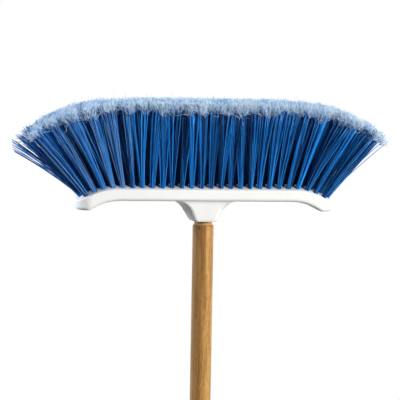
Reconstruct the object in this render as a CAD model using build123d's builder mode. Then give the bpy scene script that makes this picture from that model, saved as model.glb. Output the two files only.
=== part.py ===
from build123d import *
from math import asin, copysign, cos, pi, radians, sin, sqrt, tan
import os

# An upright broom held bristles up, in millimetres. +Z runs from the handle to the bristle tips,
# +X along the block. The origin is on the handle's axis, at the shoulder just below the socket.

# Handle: a turned wooden rod with a screw end that is one size down
handle_diameter = 22.2
handle_length = 1193.0
handle_end_round = 7.0
shoulder_chamfer = 1.5
tenon_diameter = 19.05
tenon_top = 26.2
tenon_end_chamfer = 1.5
thread_pitch = 5.08
thread_start = 8.5
thread_height = 14.5
thread_depth = 1.3
thread_mouth = 2.7
thread_root = 1.5
cut_margin = 0.5

# Block: a moulded bar with a crowned tuft face, whose ends curve down towards the handle
block_length = 270.0
block_depth = 52.0
plan_corner = 17.0
face_top = 44.1
crown_radius = 72.0
arch_start = 92.0
arch_radius = 66.0
arch_sweep = 80.0
underside = 27.4
underside_start = 89.0
underside_radius = 53.0
foot_drop = 10.1
foot_blend = 8.0
top_edge_round = 1.2
bottom_edge_round = 3.5
upright_limit = 0.05

# Neck: the flared socket under the block, almost flush with the block's front and back
socket_mouth = 5.9
lip_height = 2.0
lip_inset = 0.6
neck_width = 30.4
side_slope = 31.5
side_flare = 20.0
side_flare_end = 87.0
neck_depth = 41.0
front_slope = 4.0
front_flare = 7.0
front_flare_end = 60.0
front_flare_top = 1.8
neck_root = 1.2
panel_inset = 6.8
mouth_panel_inset = 3.6
panel_inset_growth = 0.27
neck_edge_round = 5.0
flare_steps = 6
socket_bore = 19.3
socket_end = 26.8

# Bristle tufts: five staggered rows, set in drilled holes and leaning out towards the ends
tuft_pitch = 10.16
row_pitch = 10.0
rank_half_count = 13
lean_start = 40.0
lean_end = 132.0
end_lean = 47.0
lean_power = 1.6
outer_row_lean = 7.5
plug_diameter = 5.2
hole_clearance = 0.1
hole_depth = 12.0
strip_width = 6.0
middle_strip_width = 4.0
strip_thickness = 1.5
strip_overhang = 4.0
drill_lead = 3.0

# Strands of one tuft, which part a little on the way up
strands_per_tuft = 3
strand_side = 1.6
strand_ring = 1.45
strand_splay = 1.1
strand_length = 89.0
strand_root = 1.5

# Flat wire anchors, one pinning the fold of each tuft
anchor_length = 5.0
anchor_height = 2.2
anchor_thickness = 0.5

handle_radius = handle_diameter / 2
tenon_radius = tenon_diameter / 2
outer_row = 2 * row_pitch
foot_bottom = underside - foot_drop
neck_height = underside - socket_mouth
neck_top = neck_height + front_flare_top


def crown_drop(y):
    return crown_radius - sqrt(crown_radius**2 - y**2)


# Ridge of the tuft face: x, z and turn in radians, at a distance s from the middle
def ridge(s):
    turn = max(abs(s) - arch_start, 0) / arch_radius
    x = min(abs(s), arch_start) + arch_radius * sin(turn)
    z = face_top - arch_radius * (1 - cos(turn))
    return copysign(x, s), z, copysign(turn, s)


def lean(x):
    share = max(abs(x) - lean_start, 0) / (lean_end - lean_start)
    return radians(copysign(end_lean * share**lean_power, x))


def row_lean(y):
    return radians(outer_row_lean * y / outer_row)


# Plane across a rank of tufts, with local Z along its lean and local Y across the block
def rank_plane(s):
    x, z, _ = ridge(s)
    tilt = lean(x)
    return Plane((x, 0, z), x_dir=(cos(tilt), 0, -sin(tilt)), z_dir=(sin(tilt), 0, cos(tilt)))


# Plane on the tuft face at the foot of a tuft, with local Z along the tuft
def tuft_plane(s, y):
    x, z, turn = ridge(s)
    drop = crown_drop(y)
    tilt = lean(x)
    back = row_lean(y)
    foot = (x - drop * sin(turn), y, z - drop * cos(turn))
    out = (sin(tilt) * cos(back), sin(back), cos(tilt) * cos(back))
    return Plane(foot, x_dir=(cos(tilt), 0, -sin(tilt)), z_dir=out)


# Length of a tuft's root, from the face to the top of the strip that joins its rank
def root_length(y):
    return (hole_depth - crown_drop(y)) / cos(row_lean(y))


# Planes of the strands of one tuft, around its axis and splayed outwards
def strand_planes(tuft):
    planes = []
    for i in range(strands_per_tuft):
        around = 2 * pi * i / strands_per_tuft
        radial = tuft.x_dir * cos(around) + tuft.y_dir * sin(around)
        start = tuft.origin + radial * strand_ring - tuft.z_dir * strand_root
        out = tuft.z_dir + radial * tan(radians(strand_splay))
        planes.append(Plane(start, x_dir=radial, z_dir=out))
    return planes


# A rank has a pair of tufts in the even rows and, half a pitch nearer the middle, three in the odd rows
ranks = range(-rank_half_count, rank_half_count + 1)


def rank_tufts(rank):
    pair = [(rank * tuft_pitch, y) for y in (-row_pitch, row_pitch)]
    if rank == 0:
        return pair
    inner = (rank - copysign(0.5, rank)) * tuft_pitch
    return pair + [(inner, y) for y in (-outer_row, 0, outer_row)]


def rank_middle(rank):
    if rank == 0:
        return 0.0
    return (rank - copysign(0.25, rank)) * tuft_pitch


def tufts_at(tufts, distance):
    return [tuft_plane(s, y) for s, y in tufts if abs(y) == distance]


# Strip that joins a rank: it covers the outermost roots, and is narrower in the middle rank
def strip_size(rank, clearance):
    width = strip_width if rank else middle_strip_width
    length = 2 * max(y for _, y in rank_tufts(rank)) + strip_overhang
    return width + 2 * clearance, length + 2 * clearance


# Plane of the slot that an anchor lies in, just above the strip
def anchor_plane(s, y):
    return tuft_plane(s, y).offset(-root_length(y))


# How far out the neck's side or front is, at a height above its mouth: a straight slope, then a flare
def neck_reach(size, slope_angle, flare, end_angle, flare_top, rise):
    slope = radians(slope_angle)
    rise = min(rise, flare_top)
    flare_height = flare * (sin(radians(end_angle)) - sin(slope))
    flared = max(rise - flare_top + flare_height, 0)
    turn = asin(flared / flare + sin(slope))
    return size / 2 + (rise - flared) * tan(slope) + flare * (cos(slope) - cos(turn))


# Corners of the neck's section: six sides, with a narrower panel in front and behind than in the middle
def neck_corners(rise, inset):
    half_width = neck_reach(neck_width, side_slope, side_flare, side_flare_end, neck_height, rise) - inset
    half_depth = neck_reach(neck_depth, front_slope, front_flare, front_flare_end, neck_top, rise) - inset
    panel = half_width - min(mouth_panel_inset + panel_inset_growth * rise, panel_inset)
    right = [(panel, -half_depth), (half_width, 0), (panel, half_depth)]
    return right + [(-x, -y) for x, y in right]


all_tufts = [tuft for rank in ranks for tuft in rank_tufts(rank)]
row_distances = (0, row_pitch, outer_row)
parts = {}

# Handle
with BuildPart() as handle:
    with BuildSketch(Plane.XZ):
        with BuildLine():
            Polyline(
                (0, tenon_top),
                (tenon_radius - tenon_end_chamfer, tenon_top),
                (tenon_radius, tenon_top - tenon_end_chamfer),
                (tenon_radius, shoulder_chamfer),
                (handle_radius, 0),
                (handle_radius, -handle_length + handle_end_round),
            )
            RadiusArc(
                (handle_radius, -handle_length + handle_end_round),
                (handle_radius - handle_end_round, -handle_length),
                handle_end_round,
            )
            Polyline(
                (handle_radius - handle_end_round, -handle_length),
                (0, -handle_length),
                (0, tenon_top),
            )
        make_face()
    revolve(axis=Axis.Z)
    # Screw thread, a helical groove cut in the tenon
    with BuildLine(Plane.XY.offset(thread_start)):
        Helix(pitch=thread_pitch, height=thread_height, radius=tenon_radius)
    with BuildSketch(Plane((tenon_radius, 0, thread_start), x_dir=(1, 0, 0), z_dir=(0, -1, 0))):
        with BuildLine():
            Polyline(
                (cut_margin, -thread_mouth / 2),
                (cut_margin, thread_mouth / 2),
                (-thread_depth, thread_root / 2),
                (-thread_depth, -thread_root / 2),
                close=True,
            )
        make_face()
    sweep(is_frenet=True, mode=Mode.SUBTRACT)
parts["handle"] = handle

# Block: the crowned bar is straight in the middle and turned about Y at each end
half_depth = block_depth / 2
half_length = block_length / 2
crown_edge = face_top - crown_drop(half_depth)
arch_centre = face_top - arch_radius

with BuildPart() as block:
    with BuildSketch(Plane.YZ) as crown_section:
        with BuildLine():
            ThreePointArc((-half_depth, crown_edge), (0, face_top), (half_depth, crown_edge))
            Polyline(
                (half_depth, crown_edge),
                (half_depth, arch_centre + cut_margin),
                (-half_depth, arch_centre + cut_margin),
                (-half_depth, crown_edge),
            )
        make_face()
    extrude(amount=arch_start, both=True)
    for side in (-1, 1):
        with BuildSketch(Plane.YZ.offset(side * arch_start)):
            add(crown_section.sketch_local)
        turn_axis = Axis((side * arch_start, 0, arch_centre), (0, side, 0))
        revolve(axis=turn_axis, revolution_arc=arch_sweep)
    # Outline from the front: the arched underside, the feet and the upright ends
    with BuildSketch(Plane.XZ) as front_outline:
        with BuildLine():
            arc_end = sqrt(underside_radius**2 - (underside_radius - foot_drop) ** 2)
            Polyline(
                (0, underside),
                (0, face_top + cut_margin),
                (half_length, face_top + cut_margin),
                (half_length, foot_bottom),
                (underside_start + arc_end, foot_bottom),
            )
            RadiusArc(
                (underside_start + arc_end, foot_bottom),
                (underside_start, underside),
                -underside_radius,
            )
            Line((underside_start, underside), (0, underside))
        make_face()
        foot_corner = front_outline.vertices().sort_by_distance((underside_start + arc_end, foot_bottom))[0]
        fillet(foot_corner, radius=foot_blend)
        mirror(about=Plane.YZ)
    extrude(amount=block_depth, both=True, mode=Mode.INTERSECT)
    # Outline from above: rounded ends
    with BuildSketch():
        RectangleRounded(block_length, block_depth, plan_corner)
    extrude(amount=2 * face_top, mode=Mode.INTERSECT)
    # A soft edge all round the underside, and a crisp one round the tuft face
    for turned, edge_round in ((-1, bottom_edge_round), (1, top_edge_round)):
        walls = block.faces().filter_by(lambda face: abs(face.normal_at().Z) < upright_limit)
        turned_faces = block.faces().filter_by(lambda face: turned * face.normal_at().Z > upright_limit)
        fillet(turned_faces.edges() & walls.edges(), radius=edge_round)
    # Neck: six flat sides, as a lip, a straight part, the flares and a root in the block
    turn_step = (side_flare_end - side_slope) / flare_steps
    turns = [radians(side_slope + step * turn_step) for step in range(flare_steps + 1)]
    side_rises = [neck_height - side_flare * (sin(turns[-1]) - sin(turn)) for turn in turns]
    straight_rises = (lip_height, side_rises[0])
    front_rises = (neck_height, (neck_height + neck_top) / 2, neck_top)
    root_rises = (neck_top, neck_top + neck_root)
    for rises in ((0, lip_height), straight_rises, side_rises, front_rises, root_rises):
        for rise in rises:
            with BuildSketch(Plane.XY.offset(socket_mouth + rise)) as neck_section:
                with BuildLine():
                    Polyline(*neck_corners(rise, 0 if rise else lip_inset), close=True)
                make_face()
                fillet(neck_section.vertices(), radius=neck_edge_round)
        loft()
    with BuildSketch(Plane.XY.offset(socket_mouth)):
        Circle(socket_bore / 2)
    extrude(amount=socket_end - socket_mouth, mode=Mode.SUBTRACT)
    # A drilled hole for each tuft, deep enough for its root, and a slot for the strip of each rank
    for distance in row_distances:
        with BuildSketch(*[plane.offset(drill_lead) for plane in tufts_at(all_tufts, distance)]):
            Circle(plug_diameter / 2 + hole_clearance)
        drill_depth = drill_lead + root_length(distance) + strip_thickness / 2
        extrude(amount=-drill_depth, mode=Mode.SUBTRACT)
    for rank in ranks:
        with BuildSketch(rank_plane(rank_middle(rank)).offset(-hole_depth + hole_clearance)):
            Rectangle(*strip_size(rank, hole_clearance))
    extrude(amount=-strip_thickness - 2 * hole_clearance, mode=Mode.SUBTRACT)
parts["block"] = block

# Bristle ranks: the strands and roots of a rank are one solid with the thin strip that joins them
for rank in ranks:
    tufts = rank_tufts(rank)
    with BuildPart() as bristles:
        with BuildSketch(rank_plane(rank_middle(rank)).offset(-hole_depth)):
            Rectangle(*strip_size(rank, 0))
        extrude(amount=-strip_thickness)
        for distance in row_distances:
            feet = tufts_at(tufts, distance)
            if feet:
                with BuildSketch(*feet):
                    Circle(plug_diameter / 2)
                extrude(amount=-root_length(distance) - strip_thickness / 2)
        with BuildSketch(*[plane for foot in tufts for plane in strand_planes(tuft_plane(*foot))]):
            Rectangle(strand_side, strand_side)
        extrude(amount=strand_length + strand_root)
        with BuildSketch(*[anchor_plane(s, y) for s, y in tufts]):
            Rectangle(plug_diameter + 2 * cut_margin, anchor_thickness + 2 * hole_clearance)
        extrude(amount=anchor_height + 2 * hole_clearance, mode=Mode.SUBTRACT)
    parts[f"bristle_rank_{rank + rank_half_count + 1:02d}"] = bristles

# Anchors
with BuildPart() as anchors:
    with BuildSketch(*[anchor_plane(s, y).offset(hole_clearance) for s, y in all_tufts]):
        Rectangle(anchor_length, anchor_thickness)
    extrude(amount=anchor_height)
parts["tuft_anchors"] = anchors

os.makedirs("parts", exist_ok=True)
for name, piece in parts.items():
    piece.part.label = name
    export_step(piece.part, f"parts/{name}.step")
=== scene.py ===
import math

import bmesh
import bpy
import numpy as np
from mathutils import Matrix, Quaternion, Vector


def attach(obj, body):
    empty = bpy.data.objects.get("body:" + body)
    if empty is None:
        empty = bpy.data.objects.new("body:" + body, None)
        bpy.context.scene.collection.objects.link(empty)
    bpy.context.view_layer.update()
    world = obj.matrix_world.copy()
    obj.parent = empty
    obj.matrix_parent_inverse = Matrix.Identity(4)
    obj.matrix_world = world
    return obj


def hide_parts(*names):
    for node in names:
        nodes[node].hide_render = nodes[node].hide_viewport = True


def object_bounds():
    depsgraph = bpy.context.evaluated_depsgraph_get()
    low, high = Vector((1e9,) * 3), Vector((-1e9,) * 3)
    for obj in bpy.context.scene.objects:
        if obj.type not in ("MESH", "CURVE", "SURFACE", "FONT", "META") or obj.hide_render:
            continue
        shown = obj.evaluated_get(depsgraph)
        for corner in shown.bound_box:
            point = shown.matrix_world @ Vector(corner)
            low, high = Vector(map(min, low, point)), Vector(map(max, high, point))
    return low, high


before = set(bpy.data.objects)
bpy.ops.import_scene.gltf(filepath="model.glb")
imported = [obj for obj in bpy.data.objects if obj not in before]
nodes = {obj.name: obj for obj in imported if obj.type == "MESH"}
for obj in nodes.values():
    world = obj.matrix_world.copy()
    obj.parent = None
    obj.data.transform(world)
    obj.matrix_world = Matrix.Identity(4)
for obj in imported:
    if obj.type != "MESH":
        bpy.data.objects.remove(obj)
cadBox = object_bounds()
scene = bpy.context.scene
print("frame loaded with", len(nodes), "nodes")


# Camera, as the photo sees the broom

photoView = {
    "yaw": -7.5,  # degrees round the handle, towards the left end
    "elevation": 6.2,  # degrees above the shoulder of the handle
    "distance": 1.6,
    "aim": (-0.0038, 0.0, 0.0267),
    "roll": 1.0,  # degrees, the right end hangs a little low
    "lens": 137.1,
}


def makeCamera(view):
    yaw, rise = math.radians(view["yaw"]), math.radians(view["elevation"])
    away = Vector((math.sin(yaw) * math.cos(rise), -math.cos(yaw) * math.cos(rise), math.sin(rise)))
    place = away * view["distance"]
    data = bpy.data.cameras.new("photoCamera")
    data.lens = view["lens"]
    camera = bpy.data.objects.new("photoCamera", data)
    turn = (Vector(view["aim"]) - place).to_track_quat("-Z", "Y")
    camera.rotation_mode = "QUATERNION"
    camera.rotation_quaternion = turn @ Quaternion((0, 0, 1), math.radians(view["roll"]))
    camera.location = place
    scene.collection.objects.link(camera)
    scene.camera = camera


makeCamera(photoView)
print("camera placed")


# Small helpers for materials

def tint(red, green, blue):  # a colour as it looks on screen, 0 to 255
    shares = [c / 255 for c in (red, green, blue)]
    return [s / 12.92 if s < 0.04045 else ((s + 0.055) / 1.055) ** 2.4 for s in shares] + [1.0]


def setInputs(tree, made, sockets):  # links other nodes' outputs, and sets plain values
    for name, value in sockets.items():
        if isinstance(value, bpy.types.NodeSocket):
            tree.links.new(value, made.inputs[name])
        else:
            made.inputs[name].default_value = value


def addNode(tree, kind, sockets=None, **settings):
    made = tree.nodes.new("ShaderNode" + kind)
    for name, value in settings.items():
        setattr(made, name, value)
    setInputs(tree, made, sockets or {})
    return made


def mixColour(tree, share, first, second):
    mixed = addNode(tree, "Mix", {0: share, 6: first, 7: second}, data_type="RGBA")
    return mixed.outputs[2]


def remap(tree, value, fromLow, fromHigh, toLow=0.0, toHigh=1.0):
    spans = {"Value": value, "From Min": fromLow, "From Max": fromHigh, "To Min": toLow, "To Max": toHigh}
    return addNode(tree, "MapRange", spans, interpolation_type="SMOOTHSTEP").outputs["Result"]


def colourRamp(tree, value, stops):
    ramp = addNode(tree, "ValToRGB", {"Fac": value})
    points = ramp.color_ramp.elements
    while len(points) < len(stops):
        points.new(0.5)
    for point, (place, colour) in zip(points, stops):
        point.position = place
        point.color = colour
    return ramp.outputs["Color"]


def calculate(tree, operation, first, second):
    return addNode(tree, "Math", {0: first, 1: second}, operation=operation).outputs["Value"]


def noiseAt(tree, vector, scale, detail):
    noise = addNode(tree, "TexNoise", {"Vector": vector, "Scale": scale, "Detail": detail})
    return noise.outputs["Fac"]


def stretched(tree, place, scale):
    return addNode(tree, "Mapping", {"Vector": place, "Scale": scale}).outputs["Vector"]


def bumpFrom(tree, height, strength, distance):
    bump = addNode(tree, "Bump", {"Height": height, "Strength": strength, "Distance": distance})
    return bump.outputs["Normal"]


def newMaterial(name):
    made = bpy.data.materials.new(name)
    made.use_nodes = True
    return made, made.node_tree, made.node_tree.nodes["Principled BSDF"]


def dress(objectName, material):
    slots = nodes[objectName].data.materials
    slots.clear()
    slots.append(material)


# Uneven tone and fine surface ripple, shared by the finishes

def makeUnevenGroup():
    group = bpy.data.node_groups.new("unevenSurface", "ShaderNodeTree")
    group.interface.new_socket("Vector", in_out="INPUT", socket_type="NodeSocketVector")
    for name in ("Tone Scale", "Ripple Scale", "Detail"):
        group.interface.new_socket(name, in_out="INPUT", socket_type="NodeSocketFloat")
    for name in ("Tone", "Ripple"):
        group.interface.new_socket(name, in_out="OUTPUT", socket_type="NodeSocketFloat")
    inside = group.nodes.new("NodeGroupInput").outputs
    outside = group.nodes.new("NodeGroupOutput").inputs
    for scale, result in (("Tone Scale", "Tone"), ("Ripple Scale", "Ripple")):
        noise = noiseAt(group, inside["Vector"], inside[scale], inside["Detail"])
        group.links.new(noise, outside[result])
    return group


unevenGroup = makeUnevenGroup()


def unevenSurface(tree, vector, toneScale, rippleScale, detail):
    values = {"Vector": vector, "Tone Scale": toneScale, "Ripple Scale": rippleScale, "Detail": detail}
    made = addNode(tree, "Group", values, node_tree=unevenGroup)
    return made.outputs["Tone"], made.outputs["Ripple"]


# Moulded block

blockFinish = {
    "white": tint(250, 250, 247),
    "shade": tint(244, 244, 240),
    "shadeEdges": (0.35, 0.7),  # of the tone noise
    "toneScale": 22.0,
    "rippleScale": 1400.0,
    "noiseDetail": 3.0,
    "rippleStrength": 0.25,
    "rippleDepth": 0.00005,
    "glossEdges": (0.3, 0.7),
    "roughness": (0.36, 0.48),
    "speck": tint(168, 160, 132),
    "speckScale": 130.0,
    "speckEdges": (0.05, 0.09),  # of a cell, out from its middle
    "speckPick": (0.94, 0.95),  # the cells above this hold a speck
}


def makeBlockPlastic(finish):
    material, tree, shader = newMaterial("blockPlastic")
    place = addNode(tree, "TexCoord").outputs["Object"]
    tone, ripple = unevenSurface(
        tree, place, finish["toneScale"], finish["rippleScale"], finish["noiseDetail"]
    )
    base = mixColour(tree, remap(tree, tone, *finish["shadeEdges"]), finish["white"], finish["shade"])
    # a few dust specks caught in the moulding
    cells = addNode(tree, "TexVoronoi", {"Vector": place, "Scale": finish["speckScale"]})
    dot = remap(tree, cells.outputs["Distance"], *finish["speckEdges"], 1.0, 0.0)
    pick = addNode(tree, "SeparateColor", {"Color": cells.outputs["Color"]}).outputs["Red"]
    specks = calculate(tree, "MULTIPLY", dot, remap(tree, pick, *finish["speckPick"]))
    setInputs(tree, shader, {
        "Base Color": mixColour(tree, specks, base, finish["speck"]),
        "Roughness": remap(tree, tone, *finish["glossEdges"], *finish["roughness"]),
        "Normal": bumpFrom(tree, ripple, finish["rippleStrength"], finish["rippleDepth"]),
    })
    return material


dress("block", makeBlockPlastic(blockFinish))
print("block finished")


# Wooden handle

woodFinish = {
    "pale": tint(200, 152, 80),
    "honey": tint(168, 118, 44),
    "brown": tint(112, 70, 18),
    "grainStops": (0.34, 0.48, 0.62),  # of the grain noise, for brown, honey and pale
    "streakStretch": (1.0, 1.0, 0.04),
    "streakScale": 240.0,
    "fibreScale": 800.0,
    "grainDetail": 4.0,
    "fibreShare": 0.45,  # of the grain, beside the wider streaks
    # painted shade down the left side of the rod, away from the lamps
    "leftShadeEdges": (-0.002, 0.003),  # metres across the rod
    "leftShadeDrift": 0.02,
    "leftShadeStrength": 0.4,
    "flecks": {
        "stretch": (1.0, 1.0, 0.4), "scale": 420.0, "detail": 3.0, "edges": (0.45, 0.65), "shade": 0.3,
    },
    "pores": {
        "stretch": (1.0, 1.0, 0.08), "scale": 1500.0, "detail": 1.0, "edges": (0.62, 0.72), "shade": 0.55,
    },
    "poreColour": tint(98, 56, 10),
    "poreDepth": 0.8,  # against the height of the fibres
    "raw": tint(205, 168, 118),
    "rawEdges": (0.0006, 0.0012),  # metres above the shoulder, where the varnish stops
    # grime at the foot, and grime with painted shade in the marks just below the shoulder
    "grimeAndShade": tint(70, 48, 28),
    "grimeAndShadeLow": (-0.006, -0.0008),  # metres, lower and upper edge of the band at the shoulder
    "grimeAndShadeHigh": (0.0002, 0.0008),
    "shadeSides": (-0.003, 0.003),
    "shadeOnRight": 0.25,  # of the marks on the left, which painted shade makes heavier
    "grimeAndShadeBlotch": (0.44, 0.56),
    "blotchScale": 150.0,
    "blotchDetail": 5.0,
    "footEdges": (-1.193, -1.165),  # metres, scuffs fade upwards
    "footBlotch": (0.35, 0.6),
    "footGrime": 0.7,
    "glossEdges": (0.3, 0.7),
    "roughness": (0.34, 0.48),
    "bareRoughness": 0.25,  # added where the varnish is gone
    "coat": 0.25,
    "coatRoughness": 0.22,
    "specular": 0.35,
    "ridgeStrength": 0.3,
    "ridgeDepth": 0.0001,
}


def grainMarks(tree, place, marks):
    noise = noiseAt(tree, stretched(tree, place, marks["stretch"]), marks["scale"], marks["detail"])
    return remap(tree, noise, *marks["edges"], 0.0, marks["shade"])


def makeVarnishedWood(finish):
    material, tree, shader = newMaterial("varnishedWood")
    place = addNode(tree, "TexCoord").outputs["Object"]
    sides = addNode(tree, "SeparateXYZ", {"Vector": place}).outputs
    across, height = sides["X"], sides["Z"]
    along = stretched(tree, place, finish["streakStretch"])
    tone, fibre = unevenSurface(
        tree, along, finish["streakScale"], finish["fibreScale"], finish["grainDetail"]
    )
    grain = mixColour(tree, finish["fibreShare"], tone, fibre)
    colours = (finish["brown"], finish["honey"], finish["pale"])
    base = colourRamp(tree, grain, list(zip(finish["grainStops"], colours)))
    # painted shade: darker along the left side of the handle, away from the lamps
    drift = calculate(tree, "MULTIPLY", calculate(tree, "SUBTRACT", tone, 0.5), finish["leftShadeDrift"])
    wavy = calculate(tree, "ADD", across, drift)
    leftShade = remap(tree, wavy, *finish["leftShadeEdges"], finish["leftShadeStrength"], 0.0)
    base = mixColour(tree, leftShade, base, finish["brown"])
    # fine flecks, and short dark pores along the grain
    base = mixColour(tree, grainMarks(tree, place, finish["flecks"]), base, finish["brown"])
    pores = grainMarks(tree, place, finish["pores"])
    base = mixColour(tree, pores, base, finish["poreColour"])
    # raw screw end above the shoulder, dark marks just below it that are grime and painted shade, heavier
    # on the left away from the lamps, scuffed foot
    bare = remap(tree, height, *finish["rawEdges"])
    base = mixColour(tree, bare, base, mixColour(tree, tone, finish["honey"], finish["raw"]))
    blotch = noiseAt(tree, place, finish["blotchScale"], finish["blotchDetail"])
    belowTop = remap(tree, height, *finish["grimeAndShadeHigh"], 1.0, 0.0)
    band = calculate(tree, "MULTIPLY", remap(tree, height, *finish["grimeAndShadeLow"]), belowTop)
    marks = calculate(tree, "MULTIPLY", band, remap(tree, blotch, *finish["grimeAndShadeBlotch"]))
    # painted shade: the marks under the shoulder are heavier on the left, away from the lamps
    shadedLeft = remap(tree, across, *finish["shadeSides"], 1.0, finish["shadeOnRight"])
    marks = calculate(tree, "MULTIPLY", marks, shadedLeft)
    nearFoot = remap(tree, height, *finish["footEdges"], 1.0, 0.0)
    foot = calculate(tree, "MULTIPLY", nearFoot, remap(tree, blotch, *finish["footBlotch"]))
    grimeAndShade = calculate(tree, "MAXIMUM", marks, calculate(tree, "MULTIPLY", foot, finish["footGrime"]))
    dull = calculate(tree, "MAXIMUM", bare, foot)
    gloss = remap(tree, fibre, *finish["glossEdges"], *finish["roughness"])
    rougher = calculate(tree, "MULTIPLY", dull, finish["bareRoughness"])
    ridges = calculate(tree, "SUBTRACT", fibre, calculate(tree, "MULTIPLY", pores, finish["poreDepth"]))
    setInputs(tree, shader, {
        "Base Color": mixColour(tree, grimeAndShade, base, finish["grimeAndShade"]),
        "Roughness": calculate(tree, "ADD", gloss, rougher),
        "Coat Weight": remap(tree, dull, 0.0, 1.0, finish["coat"], 0.0),
        "Coat Roughness": finish["coatRoughness"],
        "Specular IOR Level": finish["specular"],
        "Normal": bumpFrom(tree, ridges, finish["ridgeStrength"], finish["ridgeDepth"]),
    })
    return material


dress("handle", makeVarnishedWood(woodFinish))
print("handle finished")


# Flat wire anchors inside the block

anchorFinish = {
    "dull": tint(196, 195, 190),
    "bright": tint(222, 221, 217),
    "drawnStretch": (0.05, 1.0, 1.0),
    "toneScale": 300.0,
    "scratchScale": 2500.0,
    "noiseDetail": 3.0,
    "scratchEdges": (0.3, 0.7),
    "roughness": (0.28, 0.46),
}


def makeAnchorWire(finish):
    material, tree, shader = newMaterial("anchorWire")
    place = addNode(tree, "TexCoord").outputs["Object"]
    drawn = stretched(tree, place, finish["drawnStretch"])
    tone, scratch = unevenSurface(
        tree, drawn, finish["toneScale"], finish["scratchScale"], finish["noiseDetail"]
    )
    setInputs(tree, shader, {
        "Base Color": mixColour(tree, tone, finish["dull"], finish["bright"]),
        "Metallic": 1.0,
        "Roughness": remap(tree, scratch, *finish["scratchEdges"], *finish["roughness"]),
    })
    return material


dress("tuft_anchors", makeAnchorWire(anchorFinish))
print("anchors finished")


# Bristle tufts: filaments that part on the way up and split into pale curly fibres at the tips
# A pair of values is for the left and the right end of the broom, unless its note says otherwise

tuftLayout = {
    "halfRanks": 13,
    "pitch": 0.01016,
    "rowPitch": 0.010,
    "faceTop": 0.0441,
    "crownRadius": 0.072,
    "archStart": 0.092,
    "archRadius": 0.066,
    "leanStart": 0.040,
    "leanEnd": 0.132,
    "endLean": (48.0, 43.5),  # degrees
    "leanPower": 1.8,
    "outerRowLean": 7.5,  # degrees
}

bristleShape = {
    "filaments": 40,  # in each tuft
    "clumps": 5,
    "clumpReach": 0.8,  # of the root's radius, for the middles of the clumps
    "length": 0.0902,
    "lengthSpread": 0.006,  # one standard deviation, as every spread and sway here
    "rootDepth": 0.008,
    "rootRadius": 0.0023,
    "rootSpread": 0.07,
    "filamentRadius": 0.00037,
    "splay": 3.4,  # degrees, of the outermost filaments
    "tuftSway": 1.1,  # degrees
    "clumpSway": 1.9,
    "filamentSway": 0.9,
    "swayPower": 1.4,  # strands stand close at the foot and part farther up
    "bendSpread": 0.03,
    "endBend": 0.09,
    "leftLoosen": 0.5,  # how much more the strands part at the left end
    "endStart": 0.7,  # of the end's lean, from which the strands are held in
    "endLimit": (0.0, -0.02),  # steepest slope of an end tuft's strands, out from the tuft
    "looseStart": 0.9,  # of the end's lean, from which some strands hang farther out
    "looseShare": (0.28, 0.06),
    "looseReach": (0.2, 0.12),
    "leastReach": 0.02,
    "outerLimit": 0.045,  # steepest slope of an outer row's strands, away from the middle
    "wornShare": (1.4, 0.25),  # of the strands that end bare
    "wornPower": 8,  # wear keeps to the ends
    "wornLength": 0.88,  # of a whole strand, at the least
    "seed": 41,
}

tipShape = {
    "fibres": 7,  # that each filament splits into
    "steps": 4,
    "length": 0.0106,
    "clumpSpread": 0.25,
    "filamentSpread": 0.15,
    "leastLength": 0.3,  # of the usual one
    "fibreLength": (0.8, 1.15),  # shortest and longest, of the filament's split
    "start": 0.985,  # of the shaft, where the fibres leave it
    "radius": 0.00027,
    "taper": 0.5,
    "spread": 0.3,
    "curl": 0.32,
    "straighten": 0.1,
    "strayShare": 0.0015,  # of the fibres that wander off
    "straySpread": 0.7,
    "strayLength": 1.5,
    "depthLimit": 0.046,  # farthest a fibre reaches to the front or the back
}

bristleTones = {
    "middle": 0.47,
    "clumpSpread": 0.25,
    "filamentSpread": 0.38,
    # painted sheen on the leaning strands near the left end
    "paintedSheenShare": 0.6,  # of the strands near the left end
    "paintedSheenSpan": (0.1, 0.3, 0.85, 0.93),  # of its lean: first, full, still full, none
    # painted shade: the inner rows darken near the block, where little light reaches
    "innerPaintedShade": 1.0,  # darkening of the inner rows near the block
    "paintedShadeTop": 0.9,  # of the shaft
    "paintedShadePower": 4,  # the ends get more light
    "tip": 0.6,
    # painted light: tips paler in front, darker towards the back
    "frontPaintedLight": 14.0,
    "tipClumpSpread": 0.2,
    "tipFilamentSpread": 0.25,
    "tipFibreSpread": 0.12,
}

goldenAngle = 2.39996  # radians, spreads the roots evenly
shaftSteps = (0.0, 0.12, 0.35, 0.6, 0.82, 1.0)
rootShare = 0.03  # of the colour map's height, for the root in its hole
shaftShare = 0.8  # of its height, below the split
fullTone = 0.7  # of its width, up to the brightest blue
tubeSides = 4
tubeWidth = 0.03  # of the map's width, for one tube
capStep = 0.02  # of the map's height, for the end of a tube


def crownDrop(y):
    return tuftLayout["crownRadius"] - math.sqrt(tuftLayout["crownRadius"] ** 2 - y**2)


def ridgeAt(s):
    turn = max(abs(s) - tuftLayout["archStart"], 0) / tuftLayout["archRadius"]
    x = min(abs(s), tuftLayout["archStart"]) + tuftLayout["archRadius"] * math.sin(turn)
    z = tuftLayout["faceTop"] - tuftLayout["archRadius"] * (1 - math.cos(turn))
    return math.copysign(x, s), z, math.copysign(turn, s)


def leanShare(x):
    reach = tuftLayout["leanEnd"] - tuftLayout["leanStart"]
    return (max(abs(x) - tuftLayout["leanStart"], 0) / reach) ** tuftLayout["leanPower"]


def endValue(pair, x):
    return pair[0] if x < 0 else pair[1]


def inOuterRow(y):
    return abs(y) > 1.5 * tuftLayout["rowPitch"]


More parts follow.
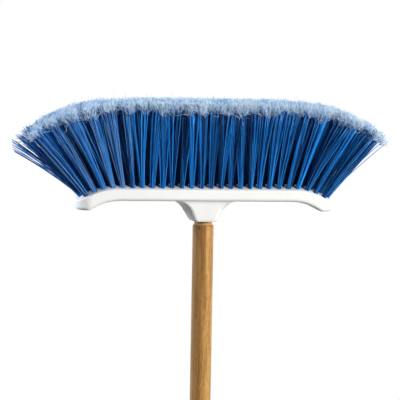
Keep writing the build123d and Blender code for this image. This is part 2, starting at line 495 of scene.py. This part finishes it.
# Foot of a tuft on the face, and its axes: sideways, back and out along the tuft
def tuftAxes(s, y):
    x, z, turn = ridgeAt(s)
    drop = crownDrop(y)
    share = leanShare(x)
    tilt = math.radians(math.copysign(endValue(tuftLayout["endLean"], x) * share, x))
    back = math.radians(tuftLayout["outerRowLean"] * y / (2 * tuftLayout["rowPitch"]))
    foot = np.array((x - drop * math.sin(turn), y, z - drop * math.cos(turn)))
    out = np.array((math.sin(tilt) * math.cos(back), math.sin(back), math.cos(tilt) * math.cos(back)))
    sideways = np.array((math.cos(tilt), 0.0, -math.sin(tilt)))
    return foot, sideways, np.cross(out, sideways), out, math.copysign(share, x)


def rankTufts(rank):
    pitch, row = tuftLayout["pitch"], tuftLayout["rowPitch"]
    pair = [(rank * pitch, y) for y in (-row, row)]
    if rank == 0:
        return pair
    inner = (rank - math.copysign(0.5, rank)) * pitch
    return pair + [(inner, y) for y in (-2 * row, 0.0, 2 * row)]


# A part that each clump of filaments shares, and a part of each filament's own
def clumpNoise(clump, clumpSpread, filamentSpread, draw):
    shared = draw.normal(0, clumpSpread, bristleShape["clumps"])[clump]
    return shared + draw.normal(0, filamentSpread, len(clump))


# Where the filaments of a tuft start, the clump of each, and how they lean and bend
def tuftSpread(y, share, draw):
    shape = bristleShape
    count = shape["filaments"]
    order = np.arange(count)
    radius = np.sqrt((order + 0.5) / count)
    around = order * goldenAngle + draw.uniform(0, 2 * math.pi)
    roots = np.stack((radius * np.cos(around), radius * np.sin(around)), 1)
    roots = roots + draw.normal(0, shape["rootSpread"], (count, 2))
    middles = draw.uniform(-shape["clumpReach"], shape["clumpReach"], (shape["clumps"], 2))
    clump = np.argmin(np.linalg.norm(roots[:, None] - middles[None], axis=2), axis=1)
    sway = draw.normal(0, 1, 2) * math.radians(shape["tuftSway"])
    sway = sway + draw.normal(0, 1, (shape["clumps"], 2))[clump] * math.radians(shape["clumpSway"])
    sway = sway + draw.normal(0, 1, (count, 2)) * math.radians(shape["filamentSway"])
    loosen = 1 + shape["leftLoosen"] * max(-share, 0)
    slopes = roots * math.tan(math.radians(shape["splay"])) * loosen
    sway = sway * loosen
    loose = np.zeros(count, bool)
    if abs(share) > shape["endStart"]:
        outward = math.copysign(1, share)
        limit = endValue(shape["endLimit"], share)
        sway[:, 0] = outward * np.minimum(outward * sway[:, 0], limit - outward * slopes[:, 0])
        chance = endValue(shape["looseShare"], share) * (abs(share) > shape["looseStart"])
        loose = draw.random(count) < chance
        hanging = limit + draw.uniform(shape["leastReach"], endValue(shape["looseReach"], share), count)
        slopes[loose, 0] = outward * hanging[loose]
        sway[loose, 0] = 0
    if inOuterRow(y):
        outward = math.copysign(1, y)
        room = shape["outerLimit"] - outward * slopes[:, 1]
        sway[:, 1] = outward * np.minimum(outward * sway[:, 1], room)
    bends = draw.normal(0, shape["bendSpread"], (count, 2))
    bends[:, 0] += shape["endBend"] * share
    return roots, clump, slopes, sway, bends, loose


# Length of each strand, how much of it is split, and which strands end bare
def tuftLengths(share, clump, loose, draw):
    shape, count = bristleShape, len(clump)
    uneven = 1 + clumpNoise(clump, tipShape["clumpSpread"], tipShape["filamentSpread"], draw)
    split = tipShape["length"] * np.maximum(uneven, tipShape["leastLength"])
    worn = draw.random(count) < endValue(shape["wornShare"], share) * share ** shape["wornPower"]
    if share < 0:
        worn = worn | loose
    full = shape["length"] * (1 + draw.normal(0, shape["lengthSpread"], count))
    full = full * np.where(worn, draw.uniform(shape["wornLength"], 1.0, count), 1)
    return full, split, worn


# Tone of each shaft, its painted shade at each step up from the root, and the tone of each tip
def tuftTones(y, share, clump, draw):
    look, count = bristleTones, len(clump)
    outer = inOuterRow(y)
    tones = look["middle"] + clumpNoise(clump, look["clumpSpread"], look["filamentSpread"], draw)
    tones = fullTone * np.clip(tones, 0, 1)
    # painted sheen: paler, greyer strands near the left end, where the lamps glint on the leaning strands
    chances = (0.0, look["paintedSheenShare"], look["paintedSheenShare"], 0.0)
    sheenTones = draw.uniform(fullTone, 1.0, count)
    paintedSheen = draw.random(count) < np.interp(-share, look["paintedSheenSpan"], chances) * outer
    tones = np.where(paintedSheen, sheenTones, tones)
    # painted shade: the inner rows darken towards the block, where little light reaches; the end tufts
    # less so
    paintedShade = look["innerPaintedShade"] * (not outer) * (1 - share ** look["paintedShadePower"])
    paintedShades = np.array([1 - paintedShade * max(1 - t / look["paintedShadeTop"], 0) for t in (0.0,) + shaftSteps])
    # painted light and shade: the tips in front are paler than those at the back, which lie in the front
    # rows' shade
    tipTones = look["tip"] - look["frontPaintedLight"] * y
    tipTones = tipTones + clumpNoise(clump, look["tipClumpSpread"], look["tipFilamentSpread"], draw)
    return tones, paintedShades, tipTones


# Curly fibres at the end of one filament
def tipFibres(start, heading, length, tipTone, draw):
    shape, steps = tipShape, tipShape["steps"]
    thin = shape["radius"] / bristleShape["filamentRadius"]
    climb = [k / steps for k in range(steps + 1)]
    radii = [thin * (1 - shape["taper"] * t) for t in climb]
    heights = [shaftShare + (1 - shaftShare) * t for t in climb]
    fibres = []
    for _ in range(shape["fibres"]):
        stray = draw.random() < shape["strayShare"]
        way = heading + draw.normal(0, shape["straySpread"] if stray else shape["spread"], 3)
        reach = length * draw.uniform(*shape["fibreLength"]) * (shape["strayLength"] if stray else 1)
        points = [start]
        for _ in range(steps):
            way = way + draw.normal(0, shape["curl"], 3) + shape["straighten"] * heading
            point = points[-1] + way / np.linalg.norm(way) * reach / steps
            point[1] = np.clip(point[1], -shape["depthLimit"], shape["depthLimit"])
            points.append(point)
        tone = fullTone * np.clip(tipTone + draw.normal(0, bristleTones["tipFibreSpread"]), 0, 1)
        fibres.append((points, radii, heights, np.full(len(points), tone)))
    return fibres


# Strands of one tuft, each as points, radii, heights on the colour map and tones
def tuftStrands(s, y, draw):
    shape = bristleShape
    foot, sideways, backwards, out, share = tuftAxes(s, y)
    axes = np.stack((sideways, backwards))
    roots, clump, slopes, sway, bends, loose = tuftSpread(y, share, draw)
    full, split, worn = tuftLengths(share, clump, loose, draw)
    tones, paintedShades, tipTones = tuftTones(y, share, clump, draw)
    heights = [0.0] + [rootShare + (shaftShare - rootShare) * t for t in shaftSteps]
    strands = []
    for i, root in enumerate(roots * shape["rootRadius"]):
        shaft = 1.0 if worn[i] else 1 - split[i] / full[i]

        def along(t):
            spread = slopes[i] * t + sway[i] * t ** shape["swayPower"] + bends[i] * (t * t - t)
            return foot + (root + full[i] * spread) @ axes + out * full[i] * t

        points = [foot + root @ axes - out * shape["rootDepth"]] + [along(shaft * t) for t in shaftSteps]
        strands.append((points, [1.0] * len(points), heights, tones[i] * paintedShades))
        if not worn[i]:
            heading = along(1.0) - along(0.9)
            heading = heading / np.linalg.norm(heading)
            strands += tipFibres(along(shaft * tipShape["start"]), heading, split[i], tipTones[i], draw)
    return strands


# A mesh of thin closed tubes, with a colour map of tone across and height up
def strandMesh(name, strands, material):
    curve = bpy.data.curves.new(name, "CURVE")
    curve.dimensions = "3D"
    curve.bevel_depth = bristleShape["filamentRadius"]
    curve.bevel_resolution = 0  # gives a tube of tubeSides sides
    for points, radii, _, _ in strands:
        spline = curve.splines.new("POLY")
        spline.points.add(len(points) - 1)
        spline.points.foreach_set("co", np.append(points, np.ones((len(points), 1)), axis=1).ravel())
        spline.points.foreach_set("radius", radii)
    holder = bpy.data.objects.new(name + "_path", curve)
    mesh = bpy.data.meshes.new_from_object(holder)
    mesh.name = name
    bpy.data.objects.remove(holder)
    bpy.data.curves.remove(curve)
    tubes = bmesh.new()
    tubes.from_mesh(mesh)
    openEdges = [edge for edge in tubes.edges if edge.is_boundary]
    bmesh.ops.holes_fill(tubes, edges=openEdges, sides=tubeSides)
    tubes.to_mesh(mesh)
    tubes.free()
    ringHeights = np.concatenate([heights for _, _, heights, _ in strands])
    ringTones = np.concatenate([tones for _, _, _, tones in strands])
    assert len(mesh.vertices) == tubeSides * len(ringHeights)
    corner = np.zeros(len(mesh.loops), np.int32)
    mesh.loops.foreach_get("vertex_index", corner)
    ring = corner // tubeSides
    across = ringTones[ring] * (1 - tubeWidth) + tubeWidth * (corner % 2)
    mapped = np.stack((across, ringHeights[ring]), 1)
    # a cap's corners are on one ring, so half of them move along the map a little
    starts = np.zeros(len(mesh.polygons), np.int32)
    mesh.polygons.foreach_get("loop_start", starts)
    faceRings = ring[starts[:, None] + np.arange(tubeSides)]
    capStarts = starts[(faceRings == faceRings[:, :1]).all(1)]
    for turn in (0, 1):
        atFoot = mapped[capStarts + turn, 1] < 0.5
        mapped[capStarts + turn, 1] += np.where(atFoot, capStep, -capStep)
    layer = mesh.uv_layers.new(name="OFBake")
    layer.data.foreach_set("uv", mapped.astype(np.float32).ravel())
    mesh.polygons.foreach_set("use_smooth", np.ones(len(mesh.polygons), bool))
    mesh.materials.append(material)
    return mesh


filamentFinish = {
    "deep": tint(3, 26, 74),
    "bright": tint(40, 150, 242),
    # painted sheen, the colour of the glinting strands near the left end
    "paintedSheen": tint(116, 144, 178),
    "paleTip": tint(218, 241, 255),
    "blueTip": tint(106, 162, 232),
    "frayEdges": (0.74, 0.92),  # of the map's height
    "roughness": (0.35, 0.8),  # of the shaft and of the tip
    "tipScatter": 0.5,  # the fine split ends let some light through
    "scatterRadius": (0.8, 0.9, 1.0),
    "scatterDepth": 0.001,
    "specular": 0.4,
    "sheen": tint(170, 204, 250),
}


def makeFilamentPlastic(finish):
    material, tree, shader = newMaterial("bluePolymer")
    place = addNode(tree, "UVMap", uv_map="OFBake").outputs["UV"]
    sides = addNode(tree, "SeparateXYZ", {"Vector": place}).outputs
    tone, height = sides["X"], sides["Y"]
    shaftStops = [(0.0, finish["deep"]), (fullTone, finish["bright"]), (1.0, finish["paintedSheen"])]
    tipStops = [(0.0, finish["blueTip"]), (fullTone, finish["paleTip"])]
    frayed = remap(tree, height, *finish["frayEdges"])
    shaft, tip = colourRamp(tree, tone, shaftStops), colourRamp(tree, tone, tipStops)
    setInputs(tree, shader, {
        "Base Color": mixColour(tree, frayed, shaft, tip),
        "Roughness": remap(tree, frayed, 0.0, 1.0, *finish["roughness"]),
        "Subsurface Weight": remap(tree, frayed, 0.0, 1.0, 0.0, finish["tipScatter"]),
        "Subsurface Radius": finish["scatterRadius"],
        "Subsurface Scale": finish["scatterDepth"],
        "Specular IOR Level": finish["specular"],
        "Specular Tint": finish["sheen"],
    })
    return material


filamentPlastic = makeFilamentPlastic(filamentFinish)
draw = np.random.default_rng(bristleShape["seed"])
for rank in range(-tuftLayout["halfRanks"], tuftLayout["halfRanks"] + 1):
    nodeName = f"bristle_rank_{rank + tuftLayout['halfRanks'] + 1:02d}"
    strands = [strand for s, y in rankTufts(rank) for strand in tuftStrands(s, y, draw)]
    tuftName = nodeName.replace("rank", "tufts")
    tufts = bpy.data.objects.new(tuftName, strandMesh(tuftName, strands, filamentPlastic))
    scene.collection.objects.link(tufts)
    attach(tufts, "head")
    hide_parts(nodeName)
print("bristles made")


# Floor, world and lamps

studio = {
    "floorRadius": 2.6,
    "floorSides": 96,
    "floorColour": tint(236, 236, 236),
    "floorBounce": tint(54, 54, 54),  # the same floor for the light that it throws back
    "floorRoughness": 0.9,
    "floorGlow": 0.3,  # how far it shows as white
    "floorFade": (0.5, 0.98),  # of its radius, where it goes over to white
    "ambient": tint(196, 208, 232),
    "skyStrength": 0.36,  # from straight above
    "groundStrength": 0.03,
    "skyEdges": (-0.4, 0.8),  # height of a direction, from the ground's strength to the sky's
}

lamps = {
    "key": {"place": (1.7, -2.94, 0.85), "size": 0.45, "power": 82.0, "colour": (1.0, 0.98, 0.95)},
    "side": {"place": (2.7, -1.4, 0.45), "size": 1.0, "power": 58.0, "colour": (1.0, 0.98, 0.96)},
    "fill": {"place": (-1.6, -1.0, 0.5), "size": 1.0, "power": 2.5, "colour": (0.8, 0.88, 1.0)},
    "rim": {"place": (-2.6, 0.9, 0.7), "size": 0.9, "power": 84.0, "colour": (0.86, 0.93, 1.0)},
}


# 1 for rays that show the background, 0 for the light it gives
def seenDirectly(tree):
    path = addNode(tree, "LightPath").outputs
    seen = calculate(tree, "MAXIMUM", path["Is Camera Ray"], path["Is Glossy Ray"])
    return calculate(tree, "MAXIMUM", seen, path["Is Transmission Ray"])


def makeFloor():
    disc = bmesh.new()
    bmesh.ops.create_circle(
        disc, cap_ends=True, radius=studio["floorRadius"], segments=studio["floorSides"]
    )
    bmesh.ops.translate(disc, vec=(0, 0, cadBox[0].z), verts=disc.verts)
    mesh = bpy.data.meshes.new("floor")
    disc.to_mesh(mesh)
    disc.free()
    floor = bpy.data.objects.new("floor", mesh)
    scene.collection.objects.link(floor)
    material, tree, shader = newMaterial("paleFloor")
    place = addNode(tree, "TexCoord").outputs["Object"]
    flat = addNode(tree, "VectorMath", {0: place, 1: (1.0, 1.0, 0.0)}, operation="MULTIPLY")
    reach = addNode(tree, "VectorMath", {0: flat.outputs["Vector"]}, operation="LENGTH").outputs["Value"]
    fade = remap(tree, reach, *[share * studio["floorRadius"] for share in studio["floorFade"]])
    seen = seenDirectly(tree)
    fade = calculate(tree, "MULTIPLY", calculate(tree, "MAXIMUM", fade, studio["floorGlow"]), seen)
    setInputs(tree, shader, {
        "Base Color": mixColour(tree, seen, studio["floorBounce"], studio["floorColour"]),
        "Roughness": studio["floorRoughness"],
    })
    glow = addNode(tree, "Emission", {"Strength": 1.0})
    blended = addNode(tree, "MixShader", {0: fade, 1: shader.outputs["BSDF"], 2: glow.outputs["Emission"]})
    tree.links.new(blended.outputs["Shader"], tree.nodes["Material Output"].inputs["Surface"])
    mesh.materials.append(material)


def makeWorld():
    world = bpy.data.worlds.new("studio")
    world.use_nodes = True
    scene.world = world
    tree = world.node_tree
    way = addNode(tree, "TexCoord").outputs["Generated"]
    rise = addNode(tree, "SeparateXYZ", {"Vector": way}).outputs["Z"]
    strength = remap(tree, rise, *studio["skyEdges"], studio["groundStrength"], studio["skyStrength"])
    around = tree.nodes["Background"]
    setInputs(tree, around, {"Color": studio["ambient"], "Strength": strength})
    white = addNode(tree, "Background", {"Color": (1, 1, 1, 1), "Strength": 1.0})
    mixed = addNode(tree, "MixShader", {0: seenDirectly(tree), 1: around.outputs[0], 2: white.outputs[0]})
    tree.links.new(mixed.outputs["Shader"], tree.nodes["World Output"].inputs["Surface"])


def makeLamp(name, lamp):
    data = bpy.data.lights.new(name, "AREA")
    data.shape = "DISK"
    data.size = lamp["size"]
    data.energy = lamp["power"]
    data.color = lamp["colour"]
    made = bpy.data.objects.new(name, data)
    made.location = lamp["place"]
    made.rotation_euler = (-Vector(lamp["place"])).to_track_quat("-Z", "Y").to_euler()
    scene.collection.objects.link(made)


makeFloor()
makeWorld()
for name, lamp in lamps.items():
    makeLamp(name, lamp)
scene.view_settings.view_transform = "Standard"
print("studio lit")
